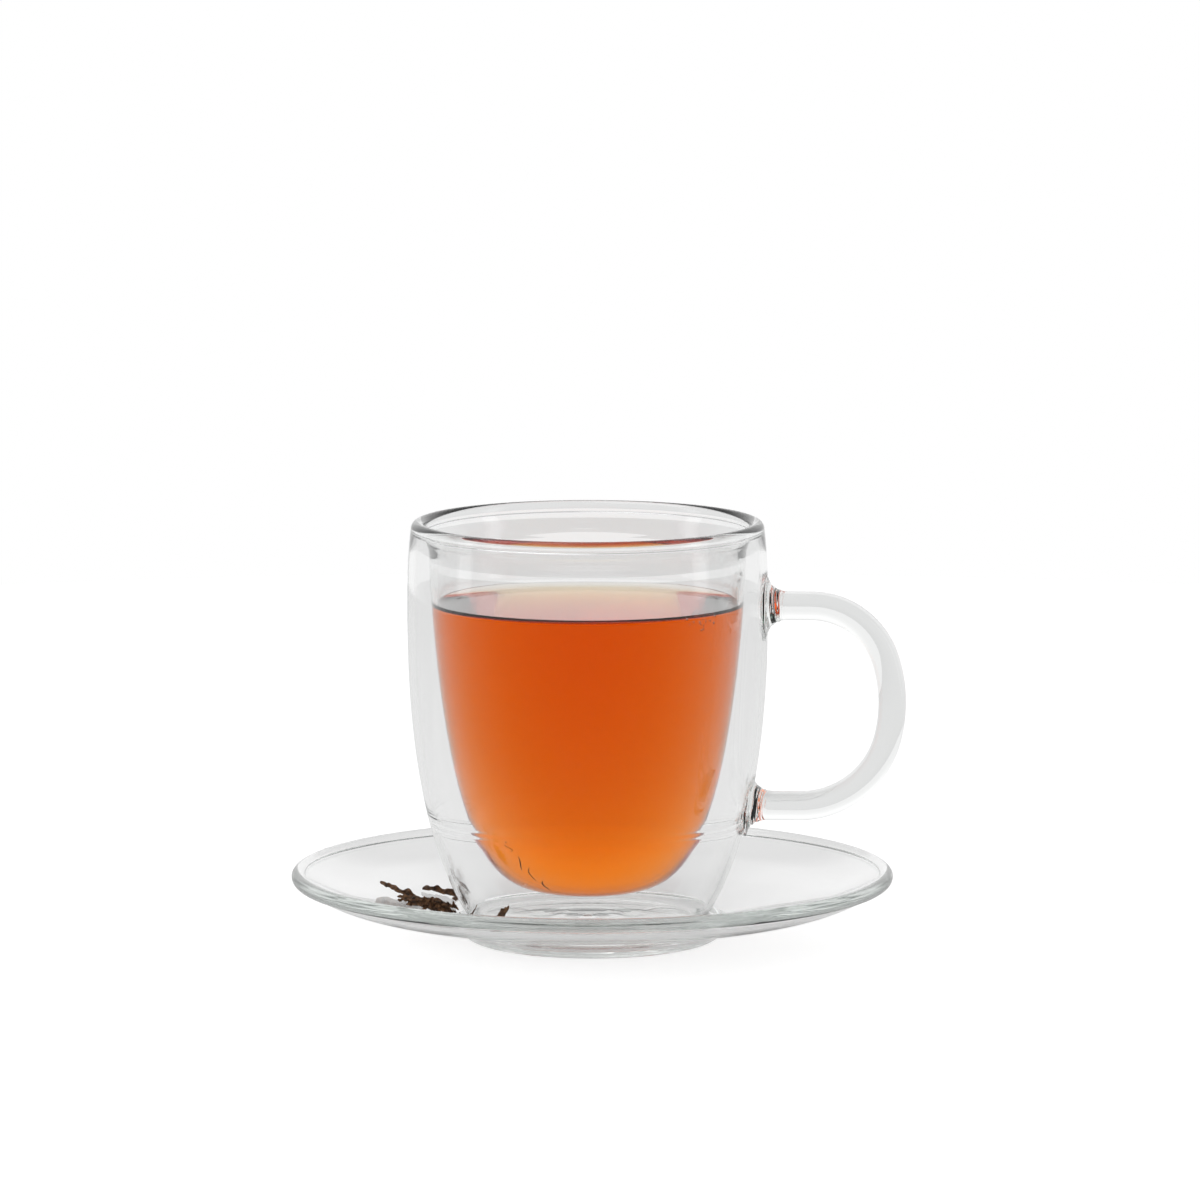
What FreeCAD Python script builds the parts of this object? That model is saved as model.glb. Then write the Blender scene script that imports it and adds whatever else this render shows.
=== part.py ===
import FreeCAD, Part

import math
import os

# A double-walled glass teacup on its saucer, filled with tea, with a few dry tea leaves
# lying on the saucer. Millimetres, +Z up. The origin is on the saucer's axis, on the
# plane that its foot stands on. The cup's handle points along +X.

# ---- saucer: one pressed glass plate with a sunk well and a beaded lip ----
saucer_radius = 70.0        # out to the lip
saucer_glass = 2.7          # thickness of the plate
lip_radius = 1.65           # the lip is a round bead, a little thicker than the plate
foot_ring_width = 5.0       # the ring that it stands on
foot_recess = 0.5           # the underside inside the ring is this much higher
basin_round = 5.4           # outer radius of the turn from the foot up the basin's side
basin_angle = 65.0          # how far that turn goes, degrees from level
basin_depth = 3.13          # the basin hangs this far below the start of the slope
notch_round = 0.8           # hollow corner between the basin and the slope
slope_angle = 12.4          # rise of the broad sloping border, degrees
rim_bend_inset = 8.5        # the underside would turn up sharply this far from the edge
rim_angle = 28.5            # rise of the plate from there to the lip, degrees
rim_round = 36.0            # radius of the bend that it makes instead
lip_blend = 1.0             # hollow where the plate runs into the lip
well_edge_round = 1.6       # upper edge of the well, where the cup's base drops in

# ---- cup: two glass walls joined at the rim, with sealed air between them ----
cup_height = 95.2           # base to the top of the bead
belly_radius = 41.8         # widest radius of the outer wall
rest_gap = 0.1              # air left between the cup's base and the well's floor
well_play = 1.79            # air round the cup where it passes the well's edge
cup_play_share = 0.6        # the cup sits off centre by this share of that play
belly_below_rim = 22.3      # the widest place is this far below the top
outer_sink = 11.0           # the outer wall's rounded form would end this far below the base
outer_side_power = 2.77     # how square the outer wall's form is, towards its side
outer_floor_power = 2.2     # and towards its floor
outer_glass = 2.0           # thickness of the outer wall
base_round = 4.0            # radius of the turn between the outer wall and the base
base_ring_inner = 13.0      # the base stands on a ring outside this radius
base_hollow = 0.7           # depth of the hollow inside the ring
cavity_floor_glass = 2.7    # glass under the cavity
cavity_round = 4.5          # radius of the cavity's lower corner
air_gap = 2.44              # between the walls, where each is widest
bowl_below_rim = 5.8        # the inner wall is widest this far below the top
bowl_floor = 8.2            # underside of the inner wall's floor, above the base
bowl_side_power = 4.34      # how square the inner wall's form is, towards its side
bowl_floor_power = 1.52     # and towards its floor
bowl_glass = 1.9            # thickness of the inner wall
rim_bead = 1.7              # radius of the bead that joins the walls
rim_draw_in = 0.85          # the bead is this much narrower than the belly
rim_taper_power = 3.0       # how late the outer wall draws in to the bead
flare_height = 10.0         # the inner wall flares out to the bead over this height
flare_angle = 24.0          # its lean where it meets the bead, degrees
gap_peak = 1.4              # the air ends in a peak this far above the inner wall's widest place


# ---- the seal in the middle of the outer wall's floor, inside the air space ----
seal_radius = 20.0          # how far its rings run out
seal_nub_height = 0.9       # where the glass was drawn off
seal_nub_radius = 3.2
seal_ripple = 0.28          # height of the rings
seal_ripple_pitch = 6.2     # from ring to ring

# ---- handle: a bent glass rod, welded to the outer wall at both ends ----
handle_thickness = 6.4      # seen from the side
handle_depth = 9.0          # across, along Y
handle_corner = 2.5         # radius of the rod's corners
handle_below_rim = 19.4     # the upper run's middle is this far below the top
handle_straight = 10.2      # the upper run is straight this far out from the belly
handle_turns = ((18.0, 72.0), (33.0, 32.5), (21.3, 75.5))   # (bend radius, degrees)
weld_round = 2.6            # radius of the flare round each weld

# ---- tea ----
tea_below_rim = 19.6        # its level is this far below the top
tea_clearance = 0.2         # between the tea's solid and the inner wall
meniscus_height = 2.2       # how far the tea climbs the glass
meniscus_reach = 1.9        # how fast that falls off from the wall
meniscus_span = 9.5         # where the surface counts as level again
meniscus_steps = 8          # along its curve
meniscus_crowding = 1.6     # how much closer together they are near the wall

# ---- dry tea leaves on the saucer ----
leaf_clearance = 0.25       # between a leaf and the glass
leaf_tip_share = 0.28       # size of a leaf's tips as a share of its middle
leaf_lump = 0.1             # unevenness of a leaf's outline, as a share of its size
leaf_wave = 9.0             # how fast that comes and goes along a leaf
section_lobes = 3           # lobes round a section, which wander along the leaf
section_wander = 5.0
leaf_stations = 11          # sections along a leaf
leaf_facets = 10            # facets round each of them
placing_steps = 8           # tries that bring a leaf to its gap from the cup

# name: bearing on the saucer, gap to the cup's wall, heading from the radius, length,
# width, thickness, sideways bend, twist from tip to tip, rise of its far tip
leaves = {
    "leaf_left": (176.0, 11.45, 20.0, 11.5, 2.1, 1.2, 0.8, 150.0, 0.4),
    "leaf_back": (158.5, 3.9, 8.0, 11.0, 2.6, 1.4, -0.7, 120.0, 0.3),
    "leaf_twig": (167.0, 1.65, 120.0, 4.4, 0.9, 0.8, 0.1, 40.0, 1.8),
    "leaf_crumb": (219.0, 1.45, 160.0, 3.8, 1.0, 0.8, 0.2, 60.0, 2.4),
    "leaf_front": (235.0, 1.55, 120.0, 6.0, 2.4, 1.3, 0.4, 70.0, 2.8),
}
heap_bearing = 185.0
heap_gap = 0.75             # between the heap and the cup's wall
heap_length = 16.5
heap_width = 6.4
heap_height = 3.2
heap_lumps = 0.16           # unevenness of the heap's outline, as a share of its size
heap_waves = (7.0, 13.0)    # how fast that comes and goes along the heap
heap_bend_wave = 5.0        # and the heap's own bends
heap_stations = 15

# ---- how finely curves are worked out ----
snap = 0.05                 # edges this near to where they are looked for are the ones
halvings = 60               # of an interval, when a place on a curve is searched for
wall_steps = 9              # along the outer wall's rounded form
neck_steps = 4              # from its widest level up to the bead
bowl_steps = 14             # along the inner wall
seal_steps = 16             # along the seal's rings
face_steps = 3              # a wall's face is this many steps long


def at(r, z):
    """A point of a profile: r from the axis, z up."""
    return FreeCAD.Vector(r, 0.0, z)


def line(a, b):
    return Part.makeLine(a, b)


def spline(points, start=None, end=None, cuts=()):
    """Smooth edges through points, with optional directions at the two ends.

    It is cut beside the points in cuts, so that no face of a wall gets too long."""
    curve = Part.BSplineCurve()
    if start and end:
        curve.interpolate(Points=points, InitialTangent=start, FinalTangent=end)
    else:
        curve.interpolate(Points=points)
    ends = [curve.parameter(p) for p in [points[0], *cuts, points[-1]]]
    edges = []
    for a, b in zip(ends, ends[1:]):
        piece = curve.copy()
        piece.segment(a, b)
        edges.append(piece.toShape())
    return edges


def revolve(edges):
    """The solid of revolution of a closed profile in the XZ plane."""
    face = Part.Face(Part.Wire(Part.__sortEdges__(edges)))
    turned = face.revolve(FreeCAD.Vector(), FreeCAD.Vector(0, 0, 1), 360)
    return turned if turned.ShapeType == "Solid" else Part.Solid(turned.Shells[0])


def direction(degrees):
    a = math.radians(degrees)
    return FreeCAD.Vector(math.cos(a), 0.0, math.sin(a))


def rounded_path(corners):
    """Edges through (point, radius) corners, each corner with a radius turned by an arc."""
    edges = []
    here = corners[0][0]
    for k in range(1, len(corners) - 1):
        p, radius = corners[k]
        back = (corners[k - 1][0] - p).normalize()
        on = (corners[k + 1][0] - p).normalize()
        if radius:
            half = back.getAngle(on) / 2
            a = p + back * (radius / math.tan(half))
            b = p + on * (radius / math.tan(half))
            middle = p + (back + on).normalize() * (radius / math.sin(half) - radius)
            edges += [line(here, a), Part.Arc(a, middle, b).toShape()]
            here = b
        else:
            edges.append(line(here, p))
            here = p
    edges.append(line(here, corners[-1][0]))
    return edges


# ---------------------------------------------------------------- saucer
def basin_side():
    """The basin's side in the underside: how far out it starts from the foot, and its run."""
    start = basin_round * math.tan(math.radians(basin_angle / 2))
    return start, direction(basin_angle) * (basin_depth / math.sin(math.radians(basin_angle)))


def well_edge(foot):
    """The upper corner between the well and the border, on a foot of that radius."""
    start, run = basin_side()
    knee = at(foot + start, 0.0)
    return offset_corner(knee, knee + run, knee + run + direction(slope_angle), saucer_glass)


def foot_radius():
    """Outer edge of the foot, which leaves the cup's base its play at the well's edge."""
    edge = well_edge(0.0)
    return wall_radius(edge.z) + well_play - edge.x


def saucer_frame():
    """Corner points of the underside, and the middle of the lip."""
    start, run = basin_side()
    knee = at(foot_radius() + start, 0.0)
    notch = knee + run
    out, up = direction(slope_angle), direction(rim_angle)
    bend = notch + out * ((saucer_radius - rim_bend_inset - notch.x) / out.x)
    half_plate = direction(rim_angle + 90) * (saucer_glass / 2)
    lip_r = saucer_radius - lip_radius
    lip = bend + half_plate + up * ((lip_r - bend.x - half_plate.x) / up.x)
    return knee, notch, bend, lip


def offset_corner(before, corner, after, distance):
    """The corner of the line that runs at a distance to the left of two joined lines."""
    a = (corner - before).normalize()
    b = (after - corner).normalize()
    na = FreeCAD.Vector(-a.z, 0, a.x)
    nb = FreeCAD.Vector(-b.z, 0, b.x)
    return corner + (na + nb) * (distance / (1 + na.dot(nb)))


def border_top(r):
    """Height and slope, in radians, of the saucer's upper face on its border."""
    knee, notch, bend, lip = saucer_frame()
    low, high = math.radians(slope_angle), math.radians(rim_angle)
    corner = offset_corner(notch, bend, lip, saucer_glass)
    reach = (rim_round - saucer_glass) * math.tan((high - low) / 2)
    start = corner - direction(slope_angle) * reach
    end = corner + direction(rim_angle) * reach
    if r <= start.x:
        return start.z + (r - start.x) * math.tan(low), low
    if r >= end.x:
        return end.z + (r - end.x) * math.tan(high), high
    centre = start + direction(slope_angle + 90) * (rim_round - saucer_glass)
    slope = math.asin((r - centre.x) / (rim_round - saucer_glass))
    return centre.z - (rim_round - saucer_glass) * math.cos(slope), slope


def make_saucer():
    knee, notch, bend, lip = saucer_frame()
    ring_in = foot_radius() - foot_ring_width
    up, half_plate = direction(rim_angle), direction(rim_angle + 90) * (saucer_glass / 2)
    neck = lip - up * math.sqrt(lip_radius ** 2 - (saucer_glass / 2) ** 2)
    lip_under, lip_upper = neck - half_plate, neck + half_plate
    inner_knee = offset_corner(at(0, 0), knee, notch, saucer_glass)
    inner_notch = offset_corner(knee, notch, bend, saucer_glass)
    inner_bend = offset_corner(notch, bend, lip_under, saucer_glass)
    under = [(at(0, foot_recess), 0), (at(ring_in - 2 * foot_recess, foot_recess), foot_recess),
             (at(ring_in, 0), foot_recess), (knee, basin_round), (notch, notch_round),
             (bend, rim_round), (lip_under, 0)]
    upper = [(lip_upper, 0), (inner_bend, rim_round - saucer_glass),
             (inner_notch, well_edge_round), (inner_knee, basin_round - saucer_glass),
             (at(0, saucer_glass), 0)]
    bead = Part.Arc(lip_under, lip + up * lip_radius, lip_upper).toShape()
    axis = line(upper[-1][0], under[0][0])
    plate = revolve(rounded_path(under) + [bead] + rounded_path(upper) + [axis])
    creases = [e for e in plate.Edges for p in (lip_under, lip_upper)
               if e.Length > math.pi * p.x and abs(e.CenterOfMass.z - p.z) < snap]
    return plate.makeFillet(lip_blend, creases)


# ---------------------------------------------------------------- cup profiles
def round_form(radius, drop, side_power, floor_power, angle):
    """Radius and depth, below the widest level, on a squared-off round form.

    The form is (r / radius) ** side_power + (depth / drop) ** floor_power = 1, and angle
    runs from 0 at the widest level to 90 on the axis."""
    c, s = math.cos(math.radians(angle)), math.sin(math.radians(angle))
    low, high = 0.5, 1.5
    for _ in range(halvings):
        mid = (low + high) / 2
        if (mid * c) ** side_power + (mid * s) ** floor_power > 1:
            high = mid
        else:
            low = mid
    return low * c * radius, low * s * drop


def form_point(wall, inset, angle):
    """A point of a wall's profile at an angle, moved inwards by inset."""
    radius, top, drop, side_power, floor_power = wall
    r, depth = round_form(radius, drop, side_power, floor_power, angle)
    nr = side_power * max(r / radius, 0.0) ** (side_power - 1) / radius
    nd = floor_power * max(depth / drop, 0.0) ** (floor_power - 1) / drop
    n = math.hypot(nr, nd)
    if angle >= 90:
        nr, nd, n, r = 0.0, 1.0, 1.0, 0.0
    return at(r - inset * nr / n, top - depth + inset * nd / n)


def form_points(wall, inset, first, last, steps):
    return [form_point(wall, inset, first + (last - first) * k / steps) for k in range(steps + 1)]


def angle_where(wall, inset, test):
    """The angle at which test(point, inward direction) turns true, going down the wall."""
    low, high = 0.0, 90.0
    for _ in range(halvings):
        mid = (low + high) / 2
        p = form_point(wall, inset, mid)
        inward = (form_point(wall, inset + 1, mid) - p).normalize()
        if test(p, inward):
            high = mid
        else:
            low = mid
    return high


def turn_to_floor(wall, inset, floor, radius):
    """The arc from a level floor to a wall: its first point, middle, last point, wall angle."""
    angle = angle_where(wall, inset, lambda p, n: p.z + radius * n.z < floor + radius)
    end = form_point(wall, inset, angle)
    inward = (form_point(wall, inset + 1, angle) - end).normalize()
    centre = end + inward * radius
    half = (FreeCAD.Vector(0, 0, -1) - inward).normalize()
    return centre - FreeCAD.Vector(0, 0, radius), centre + half * radius, end, angle


base = saucer_glass + rest_gap
cup_top = base + cup_height
bead_z = cup_top - rim_bead
rim_radius = belly_radius - rim_draw_in
# a wall is its radius, the level where it has that, its form's drop from there, its powers
outer_wall = (belly_radius, cup_top - belly_below_rim, cup_height - belly_below_rim + outer_sink,
              outer_side_power, outer_floor_power)
inner_wall = (belly_radius - outer_glass - air_gap, cup_top - bowl_below_rim,
              cup_height - bowl_below_rim - bowl_floor, bowl_side_power, bowl_floor_power)


def neck_radius(z):
    """Outer radius above the widest level, drawing in to the bead."""
    t = (z - outer_wall[1]) / (bead_z - outer_wall[1])
    return belly_radius - (belly_radius - rim_radius) * t ** rim_taper_power


def wall_radius(z):
    """Outer radius of the cup at any level."""
    if z > outer_wall[1]:
        return neck_radius(z)
    return form_point(outer_wall, 0, angle_where(outer_wall, 0, lambda p, n: p.z < z)).x


def wall_cuts(lowest):
    """Where the outer wall's faces meet: below, between and above the handle's welds."""
    path = handle_path()
    high, low = path.Edges[0].CenterOfMass.z, path.Edges[-1].CenterOfMass.z
    clear = handle_thickness / 2 + 2 * weld_round
    return [at(wall_radius(z), z) for z in (low - clear, (low + high) / 2, high + clear)
            if z > lowest + snap]


def neck_points(inset, top):
    low = outer_wall[1]
    heights = [low + (top - low) * k / neck_steps for k in range(1, neck_steps + 1)]
    return [at(neck_radius(z) - inset, z) for z in heights]


def face_ends(points, steps=face_steps):
    """The points of a curve at which one face of a wall ends and the next starts."""
    return points[steps:-1:steps]


def bowl_surface(inset, top_height):
    """The inner wall's face, moved inwards by inset, from the axis up to a height."""
    top = angle_where(inner_wall, inset, lambda p, n: p.z < top_height)
    points = form_points(inner_wall, inset, 90, top, bowl_steps)
    return points, FreeCAD.Vector(1, 0, 0), (points[-1] - points[-2]).normalize()


def outer_profile():
    """Edges from the axis under the base, up the outer wall, to the bead's outer side."""
    start, middle, end, angle = turn_to_floor(outer_wall, 0, base, base_round)
    half_way = at(base_ring_inner / 2, base + base_hollow * (1 - 0.5 ** 2))
    hollow = Part.Arc(at(0, base + base_hollow), half_way, at(base_ring_inner, base)).toShape()
    side = form_points(outer_wall, 0, angle, 0, wall_steps) + neck_points(0, bead_z)
    tangent = side[1] - side[0]
    return [hollow, line(at(base_ring_inner, base), start), Part.Arc(start, middle, end).toShape(),
            *spline(side, tangent, FreeCAD.Vector(0, 0, 1), wall_cuts(end.z))]


def rim_profile():
    """Edges over the bead and down the flare to the inner wall's inside face."""
    centre = at(rim_radius - rim_bead, bead_z)
    inner_end = centre + direction(180 + flare_angle) * rim_bead
    over = Part.Arc(at(rim_radius, bead_z), centre + direction(90) * rim_bead, inner_end).toShape()
    foot = bowl_surface(bowl_glass, bead_z - flare_height)[0][-1]
    lean = direction(90 - flare_angle)
    pull = flare_height / 3
    flare = Part.BezierCurve()
    flare.setPoles([inner_end, inner_end - lean * pull, foot + FreeCAD.Vector(0, 0, pull), foot])
    return [over, flare.toShape()]


def bowl_profile():
    """Edges from the flare down the inside of the bowl to the axis, and down the axis."""
    points, start, end = bowl_surface(bowl_glass, bead_z - flare_height)
    axis = line(points[0], at(0, base + base_hollow))
    return [*spline(points, start, FreeCAD.Vector(0, 0, 1), face_ends(points)), axis]


def seal_height(r):
    """The floor of the air space, with the drawn-off nub and its rings."""
    fade = 0.5 + 0.5 * math.cos(math.pi * r / seal_radius)
    nub = seal_nub_height * math.exp(-((r / seal_nub_radius) ** 2))
    rings = seal_ripple * math.cos(2 * math.pi * r / seal_ripple_pitch)
    return base + cavity_floor_glass + (nub + rings) * fade


def make_cavity():
    """The sealed air space between the walls."""
    floor = base + cavity_floor_glass
    start, middle, end, angle = turn_to_floor(outer_wall, outer_glass, floor, cavity_round)
    rings = [seal_radius * k / seal_steps for k in range(seal_steps + 1)]
    seal = [at(r, seal_height(r)) for r in rings]
    level = FreeCAD.Vector(1, 0, 0)
    top = inner_wall[1]
    side = form_points(outer_wall, outer_glass, angle, 0, wall_steps) + neck_points(outer_glass, top)
    bowl, bowl_start, bowl_end = bowl_surface(0, top)
    peak = (side[-1] + bowl[-1]) * 0.5 + FreeCAD.Vector(0, 0, gap_peak)
    return revolve([*spline(seal, level, level, face_ends(seal, 2 * face_steps)),
                    line(seal[-1], start), Part.Arc(start, middle, end).toShape(),
                    *spline(side, cuts=face_ends(side)),
                    line(side[-1], peak), line(peak, bowl[-1]),
                    *spline(bowl, bowl_start, bowl_end, face_ends(bowl)), line(bowl[0], seal[0])])


# ---------------------------------------------------------------- handle
def handle_root(z):
    """Where the rod starts: in the air space, whose cut ends it flush with the wall."""
    return wall_radius(z - handle_thickness / 2) - outer_glass - air_gap / 2


def handle_path():
    """Upper run, three bends that meet tangentially, lower run."""
    z = cup_top - handle_below_rim
    here = at(belly_radius + handle_straight, z)
    edges = [line(at(handle_root(z), z), here)]
    heading = 0.0
    for radius, turn in handle_turns:
        centre = here - direction(90 - heading) * radius
        middle = centre + direction(90 - heading - turn / 2) * radius
        end = centre + direction(90 - heading - turn) * radius
        edges.append(Part.Arc(here, middle, end).toShape())
        here = end
        heading += turn
    edges.append(line(here, here + direction(-heading) * (here.x - handle_root(here.z))))
    return Part.Wire(edges)


def handle_section(x, z):
    """The rod's rounded section, upright at the start of the path."""
    half_w, half_t = handle_depth / 2, handle_thickness / 2
    corners = [(half_w, half_t), (-half_w, half_t), (-half_w, -half_t), (half_w, -half_t)]
    box = Part.makePolygon([FreeCAD.Vector(x, y, z + t) for y, t in corners + corners[:1]])
    solid = Part.Face(box).extrude(FreeCAD.Vector(1, 0, 0))
    along = [e for e in solid.Edges if abs(e.tangentAt(e.FirstParameter).x) > 0.9]
    rounded = solid.makeFillet(handle_corner, along)
    end = min(rounded.Faces, key=lambda f: f.CenterOfMass.x)
    return end.OuterWire


def make_handle():
    path = handle_path()
    first = path.Edges[0].valueAt(path.Edges[0].FirstParameter)
    return path.makePipeShell([handle_section(first.x, first.z)], True, False)


def weld_edges(body):
    """The edges where the rod's faces leave the outer wall: on the wall, near the rod's side."""
    found = []
    for edge in body.Edges:
        first, last = edge.ParameterRange
        points = [edge.valueAt(t) for t in (first, (first + last) / 2, last)]
        on_wall = all(abs(math.hypot(p.x, p.y) - wall_radius(p.z)) < snap for p in points)
        aside = max(abs(p.y) for p in points)
        if on_wall and snap < aside < handle_depth and min(p.x for p in points) > 0:
            found.append(edge)
    return found


def cup_shift():
    """The cup doesn't stand in the middle of the well, but a little away from its handle."""
    return well_play * cup_play_share


def seat(shape):
    """Moves a piece of the cup to where the cup stands in the well."""
    shape.translate(FreeCAD.Vector(-cup_shift(), 0, 0))
    return shape


def make_cup():
    glass = revolve(outer_profile() + rim_profile() + bowl_profile())
    body = glass.fuse(make_handle())
    body = body.makeFillet(weld_round, weld_edges(body))
    return seat(body.cut(make_cavity()))


# ---------------------------------------------------------------- tea
def make_tea():
    """The tea up to its level, climbing the glass a little at its edge."""
    level = cup_top - tea_below_rim
    inset = bowl_glass + tea_clearance
    points, start, end = bowl_surface(inset, level + meniscus_height)
    surface = []
    for k in range(meniscus_steps + 1):
        gap = meniscus_span * (k / meniscus_steps) ** meniscus_crowding
        height = meniscus_height * math.exp(-gap / meniscus_reach)
        surface.append(at(points[-1].x - gap, level + height))
    surface[-1].z = level
    return seat(revolve([*spline(points, start, end, face_ends(points)), *spline(surface),
                         line(surface[-1], at(0, level)), line(at(0, level), points[0])]))


# ---------------------------------------------------------------- tea leaves
def on_saucer(bearing, radius, heading, along, side, height):
    """A point at a height square to the saucer's border.

    along and side are in plan, from the leaf's middle, along its heading and left of it."""
    b, h = math.radians(bearing), math.radians(bearing + heading)
    x = radius * math.cos(b) + along * math.cos(h) - side * math.sin(h)
    y = radius * math.sin(b) + along * math.sin(h) + side * math.cos(h)
    top, slope = border_top(math.hypot(x, y))
    return FreeCAD.Vector(x, y, top + height / math.cos(slope))


def ring(centre, forward, half_width, half_height, turn, lump):
    """Points round a section square to forward, turned about it, with a lumpy outline."""
    side = forward.cross(FreeCAD.Vector(0, 0, 1)).normalize()
    up = side.cross(forward).normalize()
    points = []
    for k in range(leaf_facets):
        a = 2 * math.pi * k / leaf_facets
        size = 1 + lump * math.sin(section_lobes * a + section_wander * turn)
        u, v = half_width * size * math.cos(a), half_height * size * math.sin(a)
        c, s = math.cos(turn), math.sin(turn)
        points.append(centre + side * (u * c - v * s) + up * (u * s + v * c))
    return points


def skin(rings):
    """A closed solid of flat facets over rings of points, with a fan at each end."""
    facets = []
    for a, b in zip(rings, rings[1:]):
        for k in range(len(a)):
            n = (k + 1) % len(a)
            facets += [(a[k], a[n], b[n]), (a[k], b[n], b[k])]
    for tip in (rings[0], rings[-1]):
        middle = sum(tip, FreeCAD.Vector()) * (1 / len(tip))
        facets += [(tip[k], tip[(k + 1) % len(tip)], middle) for k in range(len(tip))]
    faces = [Part.Face(Part.makePolygon([*corners, corners[0]])) for corners in facets]
    shell = Part.Shell(faces)
    shell.sewShape()
    solid = Part.Solid(shell)
    if solid.Volume < 0:
        solid.reverse()
    return solid


def strung(bearing, radius, heading, stations):
    """Rings round the sections strung along a path on the saucer.

    A station is (along, side, height, half width, half thickness, turn, lump)."""
    centres = [on_saucer(bearing, radius, heading, *station[:3]) for station in stations]
    rings = []
    last = len(stations) - 1
    for k, (along, side, height, half_w, half_t, turn, lump) in enumerate(stations):
        forward = centres[min(k + 1, last)] - centres[max(k - 1, 0)]
        rings.append(ring(centres[k], forward, half_w, half_t, turn, lump))
    return rings


def beside_cup(bearing, gap, heading, stations):
    """The skin over the sections, laid so that it keeps a level gap to the cup's wall."""
    radius = belly_radius + gap
    for _ in range(placing_steps):
        rings = strung(bearing, radius, heading, stations)
        found = min(math.hypot(p.x + cup_shift(), p.y) - wall_radius(p.z) for r in rings for p in r)
        radius += gap - found
    return skin(strung(bearing, radius, heading, stations))


def seat_height(half_w, half_t, turn, lump):
    """How high a section's middle lies over the glass, so that it just clears it."""
    reach = math.hypot(half_w * math.sin(turn), half_t * math.cos(turn)) * (1 + lump)
    return reach + leaf_clearance


def make_leaf(bearing, gap, heading, length, width, thickness, bend, twist, rise):
    """A dry leaf, rolled and twisted along its length, lying on the slope."""
    stations = []
    for k in range(leaf_stations):
        t = 2 * k / (leaf_stations - 1) - 1
        size = leaf_tip_share + (1 - leaf_tip_share) * (1 - t * t)
        uneven = 1 + leaf_lump * math.sin(leaf_wave * t + bearing)
        turn = math.radians(twist * t / 2)
        half_w, half_t = width * size * uneven / 2, thickness * size / 2
        height = seat_height(half_w, half_t, turn, leaf_lump) + rise * max(t, 0) ** 2
        stations.append((length * t / 2, bend * math.sin(math.pi * t), height,
                         half_w, half_t, turn, leaf_lump))
    return beside_cup(bearing, gap, heading, stations)


def make_heap():
    """The heap of leaves, one solid out to its uneven outline."""
    stations = []
    for k in range(heap_stations):
        t = 2 * k / (heap_stations - 1) - 1
        size = leaf_tip_share + (1 - leaf_tip_share) * math.sqrt(max(1 - t * t, 0))
        uneven = 1 + heap_lumps * (math.sin(heap_waves[0] * t) + math.sin(heap_waves[1] * t + 1))
        half_w = heap_width * size * uneven / 2
        half_t = heap_height * size * (2 - uneven) / 2
        height = seat_height(half_w, half_t, 0, heap_lumps)
        stations.append((heap_length * t / 2, math.sin(heap_bend_wave * t), height,
                         half_w, half_t, 0.0, heap_lumps / 2))
    return beside_cup(heap_bearing, heap_gap, 0, stations)


def build():
    pieces = {"saucer": make_saucer(), "cup": make_cup(), "tea": make_tea(),
              "leaf_heap": make_heap()}
    for name, values in leaves.items():
        pieces[name] = make_leaf(*values)
    os.makedirs("parts", exist_ok=True)
    for name, shape in pieces.items():
        box = shape.BoundBox
        print(f"{name}: {shape.ShapeType}, {len(shape.Solids)} solid, valid {shape.isValid()}, "
              f"volume {shape.Volume:.0f} mm3, x {box.XMin:.2f}..{box.XMax:.2f}, "
              f"y {box.YMin:.2f}..{box.YMax:.2f}, z {box.ZMin:.2f}..{box.ZMax:.2f}")
        shape.exportStep(f"parts/{name}.step")


build()
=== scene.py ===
# %% [markdown]
# # A double-walled glass of tea on its saucer
#
# The real thing is two pieces of blown and pressed borosilicate glass: a saucer, and a cup with
# two walls that are melted together at the rim and keep a sealed layer of air between them.
# Tea fills it to some two centimetres below the rim, and a few dry leaves lie on the saucer.
#
# Glass and liquid are hardly seen for themselves. What shows is the light that they bend, so
# this lesson spends its effort on three things: true closed meshes with the right thickness,
# the right refraction where one medium meets the next, and a room that is worth refracting.

# %% Load the frame
import math
import random

import bmesh
import bpy
import numpy as np
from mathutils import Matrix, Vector


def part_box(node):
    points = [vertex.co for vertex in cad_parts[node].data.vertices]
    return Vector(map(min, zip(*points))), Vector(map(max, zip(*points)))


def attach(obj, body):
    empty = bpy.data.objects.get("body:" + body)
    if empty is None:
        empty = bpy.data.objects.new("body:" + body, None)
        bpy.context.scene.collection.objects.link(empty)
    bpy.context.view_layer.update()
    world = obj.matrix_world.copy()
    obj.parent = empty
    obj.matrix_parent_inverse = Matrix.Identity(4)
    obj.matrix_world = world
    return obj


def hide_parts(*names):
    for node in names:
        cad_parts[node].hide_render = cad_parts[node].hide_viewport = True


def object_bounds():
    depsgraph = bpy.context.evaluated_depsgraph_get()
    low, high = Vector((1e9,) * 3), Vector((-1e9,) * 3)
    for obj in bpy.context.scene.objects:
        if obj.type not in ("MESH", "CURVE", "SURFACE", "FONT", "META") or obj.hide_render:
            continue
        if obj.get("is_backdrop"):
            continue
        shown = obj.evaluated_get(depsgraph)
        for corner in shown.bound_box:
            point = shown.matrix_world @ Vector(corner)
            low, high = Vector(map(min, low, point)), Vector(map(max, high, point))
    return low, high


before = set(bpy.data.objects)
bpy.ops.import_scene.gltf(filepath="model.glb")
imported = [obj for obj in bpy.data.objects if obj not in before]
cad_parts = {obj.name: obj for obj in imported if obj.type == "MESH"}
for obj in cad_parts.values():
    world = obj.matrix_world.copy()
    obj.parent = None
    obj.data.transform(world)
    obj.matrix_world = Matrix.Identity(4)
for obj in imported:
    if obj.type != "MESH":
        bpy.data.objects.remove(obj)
mm = 0.001
chance = random.Random(7)


def corners():
    low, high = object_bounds()
    return [[float(v) for v in low], [float(v) for v in high]]


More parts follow.
